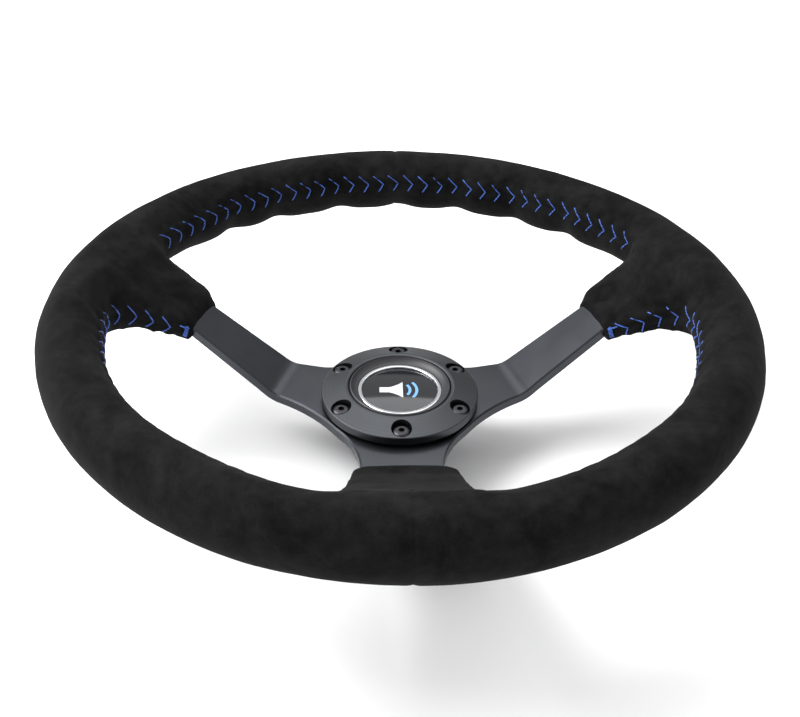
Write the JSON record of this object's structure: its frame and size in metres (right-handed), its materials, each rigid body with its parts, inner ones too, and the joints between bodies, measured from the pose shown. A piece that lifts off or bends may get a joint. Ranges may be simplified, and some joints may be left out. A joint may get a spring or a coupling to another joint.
{
  "type": "quick release steering wheel",
  "caption": "Three-spoke dished steering wheel with a padded suede grip, stitched seam, sprung horn button and a ball-lock quick release hub.",
  "frame": {"origin": "centre of the quick release's end face, on the column axis, which is the lowest face of the part", "axes": "+Z along the column axis towards the driver, +Y towards twelve o'clock, +X to the driver's right"},
  "size_m": [0.35, 0.35, 0.1062],
  "materials": {
    "black_anodised_plate": "satin",
    "black_turned_aluminium": "satin",
    "grey_anodised_collar": "satin",
    "grip_foam": "matte",
    "black_suede": "matte",
    "blue_thread": "matte",
    "black_rubber": "matte",
    "black_oxide_steel": "satin",
    "black_nylon": "matte",
    "black_moulded_cap": "satin",
    "bright_chrome": "polished",
    "printed_badge": "gloss",
    "clear_resin": "gloss",
    "brass_contact": "satin",
    "spring_steel": "satin",
    "polished_steel": "polished"
  },
  "bodies": {
    "wheel": {"spoke_frame": "black_anodised_plate", "grip_foam": "grip_foam", "grip_cover_left": "black_suede", "grip_cover_right": "black_suede", "seam_thread": "blue_thread", "spacer_ring": "black_rubber", "trim_ring": "black_turned_aluminium", "hub_screws": "black_oxide_steel", "horn_housing": "black_nylon", "horn_retaining_ring": "spring_steel", "fixed_contact": "brass_contact", "spade_terminals": "brass_contact", "horn_spring": "spring_steel", "release_hub": "black_turned_aluminium", "release_spring": "spring_steel", "collar_circlip": "spring_steel"},
    "horn_button": {"horn_cap": "black_moulded_cap", "chrome_bezel": "bright_chrome", "badge_disc": "printed_badge", "badge_dome": "clear_resin", "moving_contact": "brass_contact"},
    "release_collar": {"release_collar": "grey_anodised_collar"},
    "lock_ball_1": {"lock_ball_1": "polished_steel"},
    "lock_ball_2": {"lock_ball_2": "polished_steel"},
    "lock_ball_3": {"lock_ball_3": "polished_steel"},
    "lock_ball_4": {"lock_ball_4": "polished_steel"},
    "lock_ball_5": {"lock_ball_5": "polished_steel"},
    "lock_ball_6": {"lock_ball_6": "polished_steel"}
  },
  "joints": [
    {"name": "horn_press", "type": "slide", "parent": "wheel", "child": "horn_button", "axis": [0, 0, -1], "range_m": [0, 0.0025], "stiffness_N_per_m": 1500, "springref_m": -0.003, "deforming": ["horn_spring"]},
    {"name": "collar_release", "type": "slide", "parent": "wheel", "child": "release_collar", "axis": [0, 0, 1], "range_m": [0, 0.0045], "stiffness_N_per_m": 2500, "springref_m": -0.004, "deforming": ["release_spring"]},
    {"name": "ball_1_release", "type": "slide", "parent": "wheel", "child": "lock_ball_1", "axis": [1, 0, 0], "range_m": [0, 0.0013]},
    {"name": "ball_2_release", "type": "slide", "parent": "wheel", "child": "lock_ball_2", "axis": [0.5, 0.866, 0], "range_m": [0, 0.0013]},
    {"name": "ball_3_release", "type": "slide", "parent": "wheel", "child": "lock_ball_3", "axis": [-0.5, 0.866, 0], "range_m": [0, 0.0013]},
    {"name": "ball_4_release", "type": "slide", "parent": "wheel", "child": "lock_ball_4", "axis": [-1, 0, 0], "range_m": [0, 0.0013]},
    {"name": "ball_5_release", "type": "slide", "parent": "wheel", "child": "lock_ball_5", "axis": [-0.5, -0.866, 0], "range_m": [0, 0.0013]},
    {"name": "ball_6_release", "type": "slide", "parent": "wheel", "child": "lock_ball_6", "axis": [0.5, -0.866, 0], "range_m": [0, 0.0013]}
  ],
  "couplings": [
    {"joint": "ball_1_release", "follows": "collar_release", "ratio": 0.2888},
    {"joint": "ball_2_release", "follows": "collar_release", "ratio": 0.2888},
    {"joint": "ball_3_release", "follows": "collar_release", "ratio": 0.2888},
    {"joint": "ball_4_release", "follows": "collar_release", "ratio": 0.2888},
    {"joint": "ball_5_release", "follows": "collar_release", "ratio": 0.2888},
    {"joint": "ball_6_release", "follows": "collar_release", "ratio": 0.2888}
  ]
}
